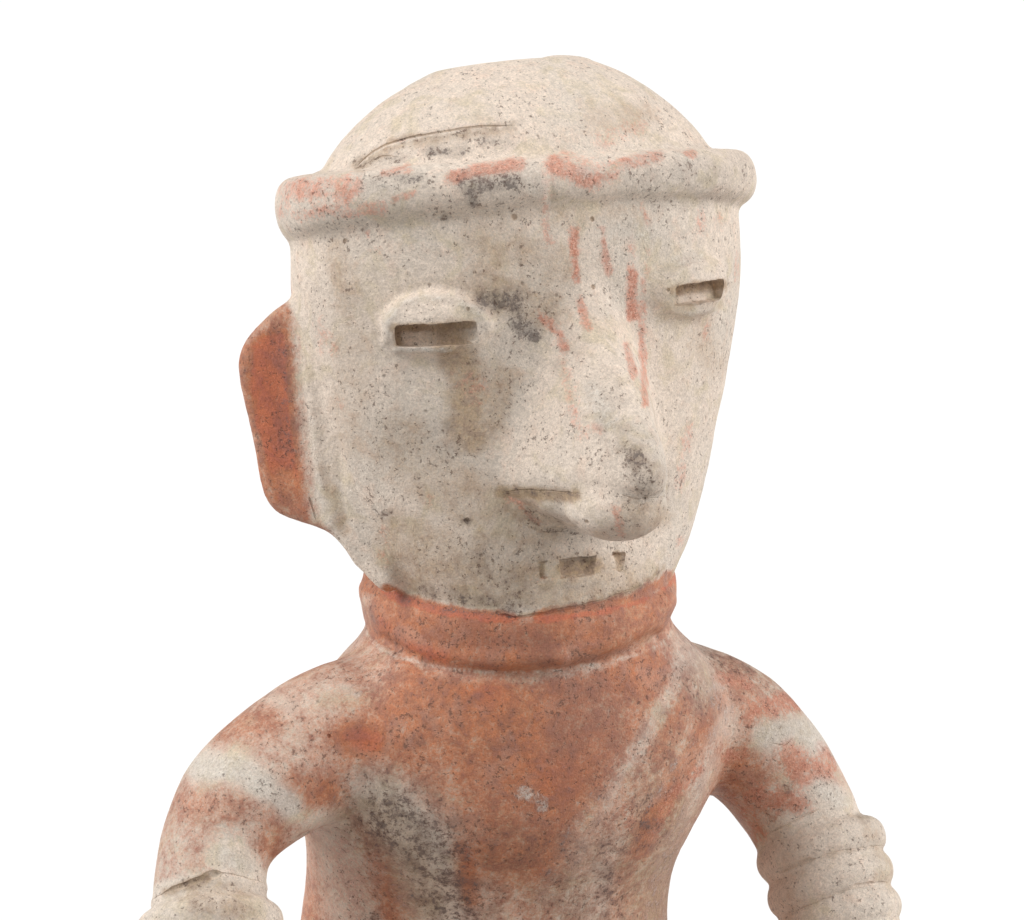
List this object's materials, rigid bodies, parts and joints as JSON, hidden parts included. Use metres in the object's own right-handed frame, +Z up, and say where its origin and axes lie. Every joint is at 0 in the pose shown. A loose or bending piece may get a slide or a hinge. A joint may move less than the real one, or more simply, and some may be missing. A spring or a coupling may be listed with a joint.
{
  "type": "pre-columbian seated figure",
  "caption": "Seated figure of fired clay with a long nose, slit eyes, banded cap, flat ears, collar and coiled armlets, hands on raised knees; stands free as an ornament.",
  "frame": {"origin": "middle of the figure's bounding box, on the ground under it", "axes": "+Z up, -Y the way the figure faces, +X to the figure's left"},
  "size_m": [0.222, 0.187, 0.359],
  "materials": {
    "slipped_clay": "matt fired clay with worn orange-red slip over cream-buff, dark specks and stains"
  },
  "bodies": {
    "root": {"seated_figure": "slipped_clay"}
  },
  "joints": []
}
